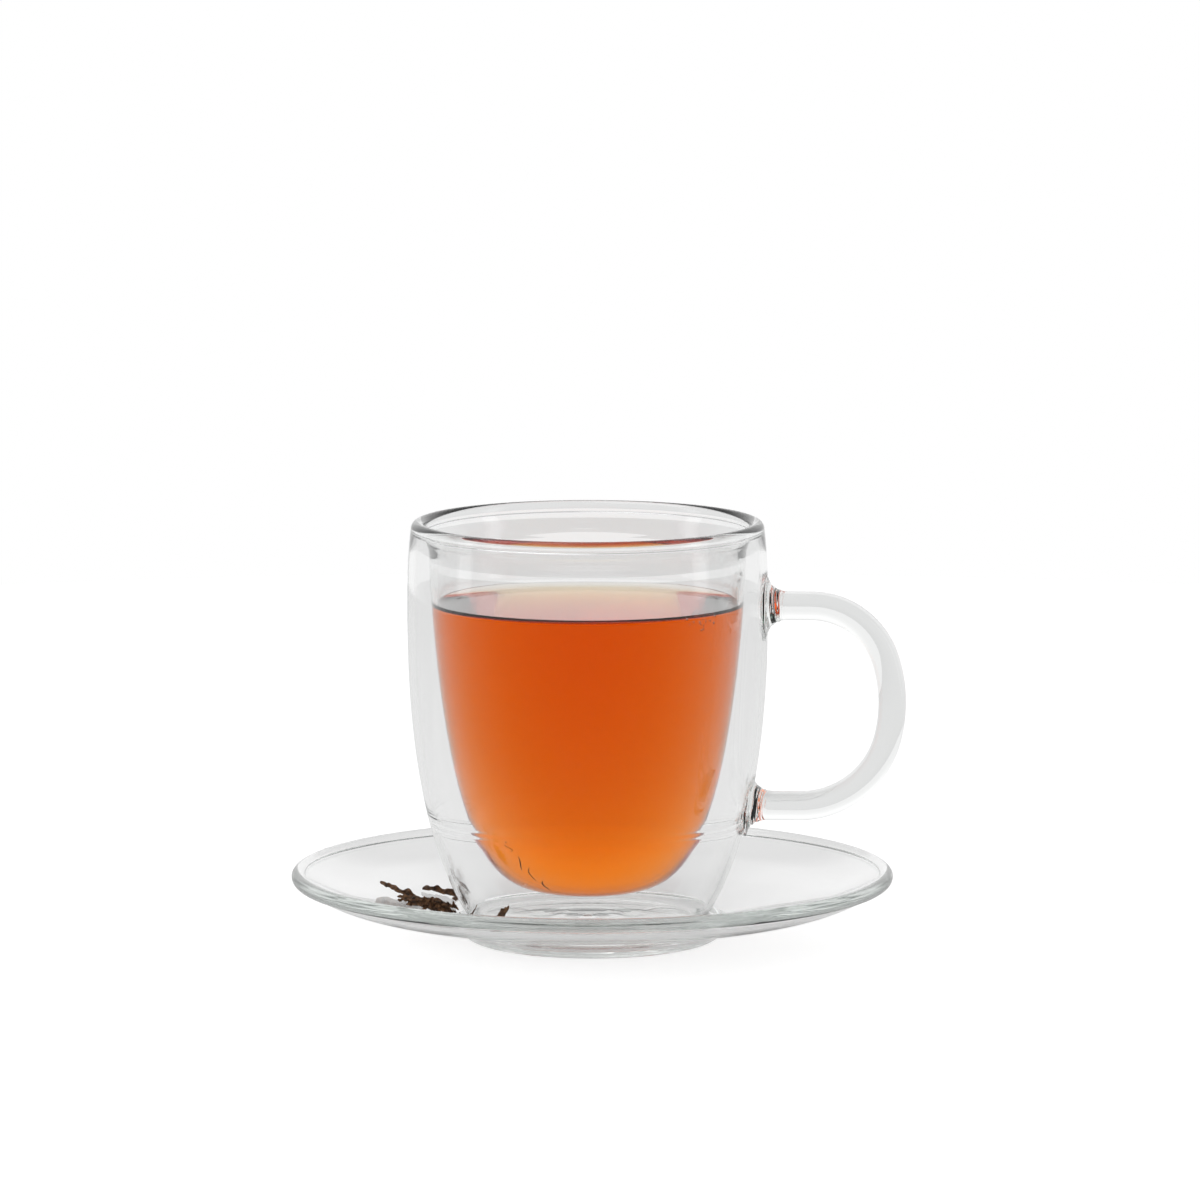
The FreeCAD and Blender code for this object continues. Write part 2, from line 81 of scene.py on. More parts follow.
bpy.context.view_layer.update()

# %% [markdown]
# ## Where things stand
#
# Every measure hangs on the frame. The cup's own box gives its height, its widest radius and
# the middle of its foot, which stands a little off the saucer's middle. Below, all sizes are in
# millimetres, and only the last step of making a mesh turns them into metres.

# %% Measures from the frame
cup_low, cup_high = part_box("cup")
tea_low, tea_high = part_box("tea")
saucer_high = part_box("saucer")[1]
cup_middle = (tea_low.x + tea_high.x) / 2 / mm
base = cup_low.z / mm
cup_top = cup_high.z / mm
belly_radius = cup_middle - cup_low.x / mm
saucer_radius = saucer_high.x / mm
print(f"cup middle {cup_middle:.2f}, base {base:.2f}, top {cup_top:.2f}, belly {belly_radius:.2f}")

# %% [markdown]
# ## Turned shapes
#
# A blown or pressed glass is round, so nearly everything here is a profile turned about an
# upright axis. A Screw modifier could do that, but a few lines of code that lay rings of points
# give control over where the rings are close together. Glass shows every flat, so a curve is
# first drawn very finely, and `thin` then keeps a point wherever the curve has turned by a few
# degrees or has run on for a millimetre or two.

# %% Curves and turned meshes
around = 192                     # points in each ring


def thin(curve, turn=4.0, reach=2.2):
    """The points of a fine curve that its shape needs: after each small turn, or each reach."""
    kept = [curve[0]]
    turned = run = 0.0
    for before, here, after in zip(curve, curve[1:], curve[2:]):
        a = math.atan2(here[1] - before[1], here[0] - before[0])
        b = math.atan2(after[1] - here[1], after[0] - here[0])
        turned += abs((b - a + math.pi) % (2 * math.pi) - math.pi)
        run += math.dist(before, here)
        if turned >= math.radians(turn) or run >= reach:
            kept.append(here)
            turned = run = 0.0
    return kept + [curve[-1]]


def clean(curve):
    """The curve without points that fall on the one before."""
    kept = [curve[0]]
    for p in curve[1:]:
        if math.dist(p, kept[-1]) > 1e-4:
            kept.append(p)
    return kept


def mesh_of(name, points, faces):
    """A mesh of points in millimetres."""
    mesh = bpy.data.meshes.new(name)
    mesh.from_pydata([tuple(c * mm for c in p) for p in points], [], faces)
    return mesh


def turned_mesh(name, profile, middle=0.0):
    """A mesh from (radius, height) points turned about the upright axis at x = middle.

    The profile starts and ends on the axis, where the mesh closes itself."""
    points, rings, faces = [], [], []
    for radius, height in profile:
        if radius < 1e-6:
            rings.append([len(points)])
            points.append((middle, 0.0, height))
            continue
        rings.append(list(range(len(points), len(points) + around)))
        for k in range(around):
            a = 2 * math.pi * k / around
            points.append((middle + radius * math.cos(a), radius * math.sin(a), height))
    for low, high in zip(rings, rings[1:]):
        for k in range(around):
            n = (k + 1) % around
            ring = [low[k % len(low)], low[n % len(low)], high[n % len(high)], high[k % len(high)]]
            faces.append(tuple(dict.fromkeys(ring)))
    return mesh_of(name, points, faces)


def outwards(mesh, flip=False):
    """Turns a closed mesh's faces outwards, or inwards for a hollow."""
    work = bmesh.new()
    work.from_mesh(mesh)
    bmesh.ops.recalc_face_normals(work, faces=work.faces)
    if (work.calc_volume(signed=True) < 0) != flip:
        bmesh.ops.reverse_faces(work, faces=work.faces)
    work.to_mesh(mesh)
    work.free()
    mesh.shade_smooth()
    return mesh


def piece(name, mesh):
    """An object of the mesh in the scene, riding on the one body."""
    made = bpy.data.objects.new(name, mesh)
    bpy.context.scene.collection.objects.link(made)
    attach(made, "root")
    return made


# %% [markdown]
# ## Profiles made of straight runs and rounds
#
# A pressed saucer is drawn as a chain of corners, each with its own radius, just as its mould is
# turned. `rounded` walks such a chain and puts an arc in each corner.

# %% Rounded corners
def rounded(corners_list, step=0.15):
    """A fine curve through ((r, z), radius) corners, with each corner turned by an arc."""
    curve = [corners_list[0][0]]
    for k in range(1, len(corners_list) - 1):
        (px, pz), radius = corners_list[k]
        back = Vector(corners_list[k - 1][0]) - Vector((px, pz))
        ahead = Vector(corners_list[k + 1][0]) - Vector((px, pz))
        back.normalize()
        ahead.normalize()
        half = back.angle(ahead) / 2
        if radius <= 0:
            curve.append((px, pz))
            continue
        start = Vector((px, pz)) + back * (radius / math.tan(half))
        end = Vector((px, pz)) + ahead * (radius / math.tan(half))
        centre = Vector((px, pz)) + (back + ahead).normalized() * (radius / math.sin(half))
        first = math.atan2(start.y - centre.y, start.x - centre.x)
        sweep = math.atan2(end.y - centre.y, end.x - centre.x) - first
        sweep = (sweep + math.pi) % (2 * math.pi) - math.pi
        steps = max(3, int(abs(sweep) * radius / step))
        for i in range(steps + 1):
            a = first + sweep * i / steps
            curve.append((centre.x + radius * math.cos(a), centre.y + radius * math.sin(a)))
    return clean(curve + [corners_list[-1][0]])


def spread(curve, step=0.2):
    """The same curve with points no further apart than the step."""
    fine = [curve[0]]
    for a, b in zip(curve, curve[1:]):
        n = max(1, math.ceil(math.dist(a, b) / step))
        for i in range(1, n + 1):
            fine.append((a[0] + (b[0] - a[0]) * i / n, a[1] + (b[1] - a[1]) * i / n))
    return fine


# %% [markdown]
# ## The cup's two walls
#
# A blown wall is fuller than an ellipse and softer than a cylinder. One formula does for both
# walls: (r / radius) to one power plus (depth / drop) to another is 1. The outer wall draws in a
# little towards the rim, where it is melted to the inner wall in a round bead.

# %% The walls' formulas
belly_below_rim, bowl_below_rim = 22.3, 5.8      # each wall is widest this far below the top
outer_sink, bowl_lift = 11.0, 8.2                # its form ends this far below, above the base
air_gap = 2.44                                   # between the walls where they are widest
outer_glass, bowl_glass = 2.0, 1.9               # thickness of each wall
bead_radius, bead_inset = 1.7, 0.85
base_turn, floor_turn = 4.0, 4.5                 # rounds from the wall to the base and the hollow
belly_z = cup_top - belly_below_rim
bowl_z = cup_top - bowl_below_rim
bead_z = cup_top - bead_radius
rim_radius = belly_radius - bead_inset
# widest radius, its level, the form's drop from there, its powers to the side and the floor
outer_wall = (belly_radius, belly_z, belly_z - base + outer_sink, 2.77, 2.2)
inner_wall = (belly_radius - outer_glass - air_gap, bowl_z, bowl_z - base - bowl_lift, 4.34, 1.52)


def wall_curve(wall, inset, first, last, steps=400):
    """A wall's profile from one angle to another, moved inwards; 0 is its widest, 90 the axis."""
    radius, top, drop, side_power, floor_power = wall
    curve = []
    for k in range(steps + 1):
        angle = math.radians(first + (last - first) * k / steps)
        c, s = max(math.cos(angle), 0.0), math.sin(angle)
        low, high = 0.5, 1.5
        for _ in range(40):
            mid = (low + high) / 2
            if (mid * c) ** side_power + (mid * s) ** floor_power > 1:
                high = mid
            else:
                low = mid
        r, depth = low * c * radius, low * s * drop
        nr = side_power * (r / radius) ** (side_power - 1) / radius
        nd = floor_power * (depth / drop) ** (floor_power - 1) / drop
        n = math.hypot(nr, nd)
        if c < 1e-6:
            curve.append((0.0, top - depth + inset))
        else:
            curve.append((r - inset * nr / n, top - depth + inset * nd / n))
    return curve


def neck_curve(inset, top_z, steps=60):
    """The outer wall above its widest place, drawing in to the bead."""
    curve = []
    for k in range(1, steps + 1):
        z = belly_z + (top_z - belly_z) * k / steps
        t = (z - belly_z) / (bead_z - belly_z)
        curve.append((belly_radius - (belly_radius - rim_radius) * t ** 3 - inset, z))
    return curve


def onto_floor(curve, floor_z, radius):
    """A wall's curve cut short, with a round turn onto a level floor."""
    for k in range(len(curve) - 1, 0, -1):
        (r1, z1), (r0, z0) = curve[k], curve[k - 1]
        tangent = Vector((r1 - r0, z1 - z0)).normalized()
        inward = Vector((-tangent.y, tangent.x))
        if inward.x > 0:
            inward = -inward
        centre = Vector((r1, z1)) + inward * radius
        if centre.y > floor_z + radius:
            break
    first = math.atan2(-inward.y, -inward.x)
    arc = []
    for i in range(41):
        a = first + (-math.pi / 2 - first) * i / 40
        arc.append((centre.x + radius * math.cos(a), centre.y + radius * math.sin(a)))
    return curve[:k] + arc


def wall_radius(z):
    """The outer wall's radius at a level."""
    return float(np.interp(z, wall_heights, wall_radii))


outer_side = wall_curve(outer_wall, 0.0, 0.0, 89.0)
outer_down = onto_floor(outer_side, base, base_turn)
whole_wall = list(reversed(outer_down)) + neck_curve(0.0, bead_z)
wall_heights = [z for r, z in whole_wall]
wall_radii = [r for r, z in whole_wall]
print(f"the wall's radius is {wall_radius(30.0):.2f} at 30 and {wall_radius(belly_z):.2f} at the belly")

# %% [markdown]
# ## The cup's glass
#
# The glass is one body with a sealed hollow in it. Its skin runs from under the base up the outer
# wall, over the bead, down a gentle flare onto the inner wall and down to the bottom of the bowl.
# The hollow is a second closed mesh with its faces turned inwards, so that a ray knows when it
# leaves the glass and when it meets it again.
#
# Beside the hollow the glass is drawn thinner than the frame's cup has it, so that the air can
# reach up under the bead. The outside and the bowl keep the frame's size.
#
# Two marks of the making belong to it: a faint seam round the lower wall, where the outer glass
# was joined, and rings in the floor of the hollow round the nub where the last tube was drawn off.

# %% The cup's profiles
seam_z = base + 26.4             # the seam round the lower wall
seam_step, seam_width = 0.09, 0.45
second_ridge, ridge_apart, ridge_narrower = 0.6, 1.5, 0.8
base_ring_inner, base_hollow = 13.0, 0.7
floor_glass = 2.7                # glass under the hollow
hollow_top = cup_top - 2.9       # where the hollow's rounded top begins
crown_height = 0.35              # and how far it rises
outer_thin, inner_thin = 1.4, 1.3    # glass of the two walls beside the hollow
thinning, thinning_reach = 0.15, 2.5    # each wall gets thinner by this, so far below that top
flare_drop = 7.0                 # from the bead down to the upright bowl
flare_lean = 66.0                # how steeply the flare leaves the bead, degrees from level
bead_wrap = 24.0                 # the bead runs on inside by this many degrees past level
seal_radius = 20.0               # how far out the floor of the hollow is rippled
nub_height, nub_width = 0.2, 3.2
ripple_height, ripple_pitch = 0.13, 6.2


def with_seam(curve):
    """The outer wall with the two soft ridges of its seam."""
    ridged = []
    for r, z in curve:
        ridge = math.exp(-((z - seam_z) / seam_width) ** 2) \
            + second_ridge * math.exp(-((z - seam_z + ridge_apart) / (ridge_narrower * seam_width)) ** 2)
        ridged.append((r + seam_step * ridge, z))
    return ridged


def flare_curve(end, foot, below):
    """A soft S from the bead's inner end down to the bowl, which runs on from foot to below."""
    end, foot, below = Vector(end), Vector(foot), Vector(below)
    reach = flare_drop / 3
    lean = Vector((math.cos(math.radians(flare_lean)), math.sin(math.radians(flare_lean)))) * reach
    pulls = [end, end - lean, foot + (foot - below).normalized() * reach, foot]
    curve = []
    for k in range(1, 40):
        t = k / 40
        weights = ((1 - t) ** 3, 3 * t * (1 - t) ** 2, 3 * t * t * (1 - t), t ** 3)
        at = sum((p * w for p, w in zip(pulls, weights)), Vector((0, 0)))
        curve.append((at.x, at.y))
    return curve


def skin_profile():
    """From the axis under the base, over the rim, to the axis in the bowl."""
    under = [(base_ring_inner * k / 40, base + base_hollow * (1 - (k / 40) ** 2)) for k in range(41)]
    side = with_seam(spread(whole_wall))
    over = []
    for k in range(1, 61):
        a = math.radians((180 + bead_wrap) * k / 60)
        over.append((rim_radius - bead_radius + bead_radius * math.cos(a),
                     bead_z + bead_radius * math.sin(a)))
    bowl = [p for p in wall_curve(inner_wall, bowl_glass, 0.0, 90.0) if p[1] < bead_z - flare_drop]
    return clean(under + side + over + flare_curve(over[-1], bowl[0], bowl[2]) + bowl)


def seal_height(r):
    """The floor of the hollow: the drawn-off nub and the rings round it."""
    fade = 0.5 + 0.5 * math.cos(math.pi * min(r / seal_radius, 1.0))
    nub = nub_height * math.exp(-(r / nub_width) ** 2)
    rings = ripple_height * math.cos(2 * math.pi * r / ripple_pitch)
    return base + floor_glass + (nub + rings) * fade


def hollow_profile():
    """The sealed air: its rippled floor, outer side, crown under the bead, and inner side."""
    top = hollow_top
    outer = onto_floor(wall_curve(outer_wall, outer_thin, 0.0, 89.0), base + floor_glass, floor_turn)
    neck = []
    for r, z in neck_curve(outer_thin, top):
        near = float(np.interp(z, (top - thinning_reach, top), (0, 1)))
        neck.append((r + thinning * near ** 2, z))
    side = list(reversed(outer)) + neck
    bowl = wall_curve(inner_wall, bowl_glass - inner_thin, 0.0, 90.0)
    bowl = [p for p in bowl if p[1] < bead_z - flare_drop]
    bead_end = (rim_radius - bead_radius * (1 + math.cos(math.radians(bead_wrap))),
                bead_z - bead_radius * math.sin(math.radians(bead_wrap)))
    flare = flare_curve((bead_end[0] + inner_thin - thinning, bead_end[1]), bowl[0], bowl[2])
    bowl = [p for p in flare if p[1] < top] + bowl
    half_gap = (side[-1][0] - bowl[0][0]) / 2
    crown = [(bowl[0][0] + half_gap * (1 + math.cos(math.pi * k / 40)),
              top + crown_height * math.sin(math.pi * k / 40)) for k in range(1, 40)]
    print(f"the gap at the hollow's top is {2 * half_gap:.2f}")
    floor = [(seal_radius * k / 160, seal_height(seal_radius * k / 160)) for k in range(161)]
    return clean(floor + side + crown + bowl)


skin_curve, hollow_curve = skin_profile(), hollow_profile()
print(f"skin {len(skin_curve)} fine points, {len(thin(skin_curve))} kept;",
      f"hollow {len(hollow_curve)} fine, {len(thin(hollow_curve))} kept")

# %% [markdown]
# ## The handle
#
# The handle is a solid glass rod with soft flat sides, bent hot and pressed onto the wall while
# both are soft. Its line is an upper run, three bends of different radius and a lower run. A
# curve with a bevel would make the rod, but not its welds, so the rod is laid ring by ring here:
# wherever a point of a ring comes near the wall it is pushed outwards along a round, and the
# soft glass there has gathered into a few folds.

# %% The rod's line
handle_thick, handle_deep, handle_corner = 6.4, 9.0, 2.5
handle_high = cup_top - 19.4
handle_bends = ((18.0, 72.0), (33.0, 32.5), (21.3, 75.5))   # radius, turn in degrees
root_depth, root_run = 1.2, 7.0  # the rod starts this deep in the wall; the weld's closer rings
upper_run = 10.2                 # the first bend starts this far outside the belly


def rod_line():
    """(x, z, heading in degrees) along the middle of the rod, from the upper wall to the lower."""
    line = []
    start = wall_radius(handle_high) - root_depth
    corner = belly_radius + upper_run
    near = [start + root_run * (k / 36) ** 1.25 for k in range(36)]
    line += [(x, handle_high, 0.0) for x in near]
    run = corner - start - root_run
    line += [(start + root_run + run * k / 3, handle_high, 0.0) for k in range(3)]
    here, heading = Vector((corner, handle_high)), 0.0
    for radius, turn in handle_bends:
        down = math.radians(-90 - heading)
        centre = here + Vector((math.cos(down), math.sin(down))) * radius
        steps = int(turn / 2.5)
        for k in range(steps):
            a = math.radians(90 - heading - turn * k / steps)
            at = centre + Vector((math.cos(a), math.sin(a))) * radius
            line.append((at.x, at.y, heading + turn * k / steps))
        heading += turn
        a = math.radians(90 - heading)
        here = centre + Vector((math.cos(a), math.sin(a))) * radius
    end = wall_radius(here.y) - root_depth
    line += [(here.x - (here.x - end - root_run) * k / 3, here.y, heading) for k in range(3)]
    line += [(end + root_run * (1 - k / 36) ** 1.25, here.y, heading) for k in range(37)]
    return line


rod = rod_line()
print(f"rod line of {len(rod)} rings, reaching x {max(p[0] for p in rod) + handle_thick / 2:.2f}")

# %% The rod and its welds
weld_reach = 5.0                 # how far from the wall the rod starts to spread
weld_spread = 0.8                # and how far it spreads, as a share of that
fold_depth, fold_pitch = 0.34, 1.15
squareness = 2.2                 # how soon the rod's sides go flat past its corners


def rod_section(n=56):
    """Points round the rod: across (Y) and outwards of the bend, with rounded corners."""
    points = []
    half_w, half_t = handle_deep / 2 - handle_corner, handle_thick / 2 - handle_corner
    for k in range(n):
        a = 2 * math.pi * (k + 0.5) / n
        c, s = math.cos(a), math.sin(a)
        points.append((half_w * max(-1, min(1, c * squareness)) + handle_corner * c,
                       half_t * max(-1, min(1, s * squareness)) + handle_corner * s))
    return points


def rod_rings():
    """Rings of points in the cup's own frame, spread and folded where they meet the wall."""
    section = rod_section()
    rings = []
    for x, z, heading in rod:
        out = Vector((math.sin(math.radians(heading)), 0, math.cos(math.radians(heading))))
        ring = []
        for across, up in section:
            centre = Vector((x, 0, z))
            away = Vector((0, across, 0)) + out * up
            p = centre + away
            gap = math.hypot(p.x, p.y) - wall_radius(min(max(p.z, base + 6), bead_z))
            near = max(0.0, min(1.0, 1 - gap / weld_reach))
            spread_out = weld_reach * weld_spread * (1 - math.sqrt(max(0.0, 1 - near ** 2)))
            side = math.atan2(up, across)
            folds = math.sin(2 * math.pi * gap / fold_pitch + 1.3 * math.sin(2 * side + z))
            folds *= fold_depth * near ** 1.5 * (1 - near ** 6) * (0.6 + 0.4 * math.sin(3 * side + x))
            ring.append(p + away.normalized() * (spread_out + folds))
        rings.append(ring)
    return rings


def rod_mesh():
    """The closed mesh of the rod, with a flat end inside the wall at each weld."""
    rings = rod_rings()
    n = len(rings[0])
    points = [(p.x + cup_middle, p.y, p.z) for ring in rings for p in ring]
    faces = []
    for j in range(len(rings) - 1):
        for k in range(n):
            m = (k + 1) % n
            faces.append((j * n + k, j * n + m, (j + 1) * n + m, (j + 1) * n + k))
    faces.append(tuple(range(n)))
    last = (len(rings) - 1) * n
    faces.append(tuple(last + k for k in range(n)))
    return mesh_of("rod", points, faces)


# %% [markdown]
# ## One body of glass
#
# The rod must become one body with the wall: two overlapping meshes would show a wall inside the
# glass. An exact Boolean union joins them, and then the hollow is added as loose faces of the same
# mesh. No cutting is needed for it, because it lies wholly inside the wall.

# %% Join the rod to the wall and add the hollow
def united(first, second):
    """The exact union of two closed meshes."""
    a = bpy.data.objects.new("first", first)
    b = bpy.data.objects.new("second", second)
    for each in (a, b):
        bpy.context.scene.collection.objects.link(each)
    join = a.modifiers.new("join", "BOOLEAN")
    join.operation = "UNION"
    join.solver = "EXACT"
    join.object = b
    bpy.context.view_layer.update()
    shape = a.evaluated_get(bpy.context.evaluated_depsgraph_get())
    mesh = bpy.data.meshes.new_from_object(shape)
    for each in (a, b):
        bpy.data.objects.remove(each)
    return mesh


def merged(*meshes):
    """One mesh of several, each left as it is."""
    work = bmesh.new()
    for mesh in meshes:
        work.from_mesh(mesh)
    joined = bpy.data.meshes.new("glass")
    work.to_mesh(joined)
    work.free()
    joined.shade_smooth()
    return joined


skin = outwards(turned_mesh("skin", thin(skin_curve), cup_middle))
body = outwards(united(skin, outwards(rod_mesh())))
hollow = outwards(turned_mesh("hollow", thin(hollow_curve), cup_middle), flip=True)
cup = piece("cup_glass", merged(body, hollow))
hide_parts("cup")
print(f"cup of {len(cup.data.polygons)} faces, {len(body.vertices) - len(skin.vertices)} points more",
      "than the turned skin")

# %% [markdown]
# ## The saucer
#
# The saucer is pressed in a mould: a foot ring, a sunk well that holds the cup's base, a broad
# sloping border, and a rim that turns up into a round lip. It is one turned profile, with the
# underside first and the upper face coming back.

# %% The saucer
saucer_glass, lip_radius = 2.7, 1.65
slope_angle, rim_angle, basin_angle = 12.4, 28.5, 65.0
foot_radius = 26.6
foot_ring, foot_recess = 5.0, 0.5
basin_depth, basin_round, notch_round, well_round = 3.13, 5.4, 0.8, 1.6
rim_inset, rim_round = 8.5, 36.0


def toward(degrees):
    """A step of one millimetre at an angle from level."""
    return Vector((math.cos(math.radians(degrees)), math.sin(math.radians(degrees))))


def offset_corner(before, corner, after):
    """The corner of the plate's other face."""
    a, b = (corner - before).normalized(), (after - corner).normalized()
    na, nb = Vector((-a.y, a.x)), Vector((-b.y, b.x))
    return corner + (na + nb) * (saucer_glass / (1 + na.dot(nb)))


def saucer_curves():
    """The underside from the axis to the lip, the lip, and the upper face back to the axis."""
    knee = Vector((foot_radius + basin_round * math.tan(math.radians(basin_angle / 2)), 0.0))
    notch = knee + toward(basin_angle) * (basin_depth / math.sin(math.radians(basin_angle)))
    out, up = toward(slope_angle), toward(rim_angle)
    bend = notch + out * ((saucer_radius - rim_inset - notch.x) / out.x)
    half = toward(rim_angle + 90) * (saucer_glass / 2)
    lip = bend + half + up * ((saucer_radius - lip_radius - bend.x - half.x) / up.x)
    neck = lip - up * math.sqrt(lip_radius ** 2 - (saucer_glass / 2) ** 2)
    ring_in = foot_radius - foot_ring
    under = [((0.0, foot_recess), 0), ((ring_in - 2 * foot_recess, foot_recess), foot_recess),
             ((ring_in, 0.0), foot_recess), (tuple(knee), basin_round), (tuple(notch), notch_round),
             (tuple(bend), rim_round), (tuple(neck - half), 0)]
    upper = [(tuple(neck + half), 0),
             (tuple(offset_corner(notch, bend, neck - half)), rim_round - saucer_glass),
             (tuple(offset_corner(knee, notch, bend)), well_round),
             (tuple(offset_corner(Vector((0, 0)), knee, notch)), basin_round - saucer_glass),
             ((0.0, saucer_glass), 0)]
    start = math.atan2(*reversed(neck - half - lip))
    end = math.atan2(*reversed(neck + half - lip))
    start, end = start % (2 * math.pi) - 2 * math.pi, end % (2 * math.pi)
    bead = [(lip.x + lip_radius * math.cos(start + (end - start) * k / 60),
             lip.y + lip_radius * math.sin(start + (end - start) * k / 60)) for k in range(1, 60)]
    return rounded(under), bead, rounded(upper)


def softened(curve, reach):
    """The curve with its small creases rounded, by averaging each point with its neighbours."""
    fine = spread(curve, 0.1)
    n = max(1, int(reach / 0.1))
    kept = []
    for k, p in enumerate(fine):
        m = min(n, k, len(fine) - 1 - k)
        part = fine[k - m:k + m + 1]
        kept.append((sum(q[0] for q in part) / len(part), sum(q[1] for q in part) / len(part)))
    return kept


under_curve, lip_curve, upper_curve = saucer_curves()
saucer_curve = clean(softened(under_curve + lip_curve + upper_curve, 0.3))
saucer = piece("saucer_glass", outwards(turned_mesh("saucer_glass", thin(saucer_curve))))
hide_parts("saucer")
saucer_size = tuple(round(v / mm, 2) for v in saucer.dimensions)
print(f"saucer of {len(saucer.data.polygons)} faces, size {saucer_size}")

# %% [markdown]
# ## The tea
#
# Tea wets glass, so its surface climbs the wall in a small curve at the edge, which shows as a
# dark line. Where a liquid touches glass there must be no sliver of air, so this mesh reaches a
# little way into the wall: a ray then enters the tea before it leaves the glass, and both bend it
# as the real pair does. The colour is not on the surface but in the depth, as an absorption.

# %% The tea
tea_level = cup_top - 19.6       # the flat part of its surface
into_wall = 0.35                 # how far the tea reaches into the glass
climb, climb_reach = 1.2, 0.8    # height of the curve at the wall, and how fast it falls off
climb_run, climb_points = 9.5, 80    # how far in it is followed, and by how many points


def tea_profile():
    """The bottom and side of the tea inside the wall, then its surface back to the axis."""
    side = wall_curve(inner_wall, bowl_glass - into_wall, 90.0, 0.0)
    side = [p for p in side if p[1] < tea_level + climb]
    edge = side[-1][0]
    top = [(edge, tea_level + climb)]
    for k in range(climb_points):
        share = k / (climb_points - 1)
        gap = climb_run * share ** 1.6
        rise = climb * math.exp(-gap / climb_reach) * (1 - share ** 8)
        top.append((edge - into_wall - gap, tea_level + rise))
    return clean(side + top + spread([top[-1], (0.0, tea_level)], 4.0))


tea = piece("tea_liquid", outwards(turned_mesh("tea_liquid", thin(tea_profile(), 3.0), cup_middle)))
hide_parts("tea")
print(f"tea of {len(tea.data.polygons)} faces up to {tea_level:.1f}, climbing {climb}")

# %% [markdown]
# ## The dry leaves
#
# Dry black tea is a leaf that was withered, rolled and twisted, so a piece of it is a crooked
# cord with deep folds along it and ragged ends. Each one here is a tube laid along a bent line on
# the saucer's border. Its section is lobed, the lobes turn as they run along it, and a little
# noise wrinkles the skin. The frame's box of each loose leaf says where it lies. Two of them and
# the heap are set off it by up to three millimetres, and the crumb and the front leaf stand up
# about twice as high as their boxes, to show over the saucer's edge.

# %% How a leaf is made
border_start = 30.0              # the saucer's slope is read from this radius outwards
leaf_gap = 0.12                  # air between a leaf and the glass under it
border = [(r, z) for r, z in spread(upper_curve) if r > border_start][::-1]
border_radii, border_heights = [p[0] for p in border], [p[1] for p in border]


def glass_under(x, y):
    """Height of the saucer's upper face."""
    return float(np.interp(math.hypot(x, y), border_radii, border_heights))


def leaf_shape(middle, heading, length, width, thickness, bend, twist, lift, stations=46, facets=26):
    """Points and faces of one rolled leaf, lying on the saucer at middle (x, y)."""
    h = math.radians(heading)
    along, across = Vector((math.cos(h), math.sin(h), 0)), Vector((-math.sin(h), math.cos(h), 0))
    phase = [chance.uniform(0, 2 * math.pi) for _ in range(6)]
    lobes = [chance.uniform(0.10, 0.24) for _ in range(3)]
    kink = chance.uniform(0.04, 0.08) * length
    points, faces, centres, sizes = [], [], [], []
    for j in range(stations):
        t = 2 * j / (stations - 1) - 1
        wander = kink * math.sin(3.1 * t + phase[0]) + 0.4 * kink * math.sin(7.3 * t + phase[1])
        at = Vector((middle[0], middle[1], 0)) + along * (length * t / 2)
        at += across * (bend * math.sin(math.pi * t) + wander)
        taper = (1 - abs(t) ** 2.4) ** 0.62
        uneven = 1 + 0.2 * math.sin(5.2 * t + phase[2]) + 0.12 * math.sin(13 * t + phase[3])
        centres.append(at)
        sizes.append((0.16 + 0.84 * taper) * uneven)
    for j in range(stations):
        t = 2 * j / (stations - 1) - 1
        turn = math.radians(twist) * t + phase[4]
        forward = (centres[min(j + 1, stations - 1)] - centres[max(j - 1, 0)]).normalized()
        up = Vector((0, 0, 1))
        side = forward.cross(up).normalized()
        ring = []
        for k in range(facets):
            a = 2 * math.pi * k / facets
            groove = 1 + lobes[0] * math.sin(2 * a + turn + phase[5])
            groove += lobes[1] * math.sin(3 * a - 1.6 * turn)
            groove += 0.5 * lobes[2] * math.sin(7 * a + 2.2 * turn) + chance.uniform(-0.035, 0.035)
            u = width / 2 * sizes[j] * groove * math.cos(a)
            v = thickness / 2 * sizes[j] * groove * math.sin(a)
            c, s = math.cos(turn), math.sin(turn)
            ring.append((side * (u * c - v * s) + up * (u * s + v * c)))
        rest = min(p.z for p in ring)
        height = glass_under(centres[j].x, centres[j].y) + leaf_gap - rest
        height += lift * ((t + 1) / 2) ** 1.6
        height += 0.12 * thickness * (1 + math.sin(6 * t + phase[1]))
        points += [centres[j] + Vector((0, 0, height)) + p for p in ring]
    for j in range(stations - 1):
        for k in range(facets):
            m = (k + 1) % facets
            here, onward = j * facets, (j + 1) * facets
            faces.append((here + k, here + m, onward + m, onward + k))
    for ring_start in (0, (stations - 1) * facets):
        faces.append(tuple(ring_start + k for k in range(facets)))
    return points, faces


def leaf_piece(name, shapes):
    """One piece of several leaf shapes."""
    points, faces = [], []
    for more_points, more_faces in shapes:
        start = len(points)
        points += more_points
        faces += [tuple(start + i for i in face) for face in more_faces]
    made = piece(name, outwards(mesh_of(name, points, faces)))
    return made


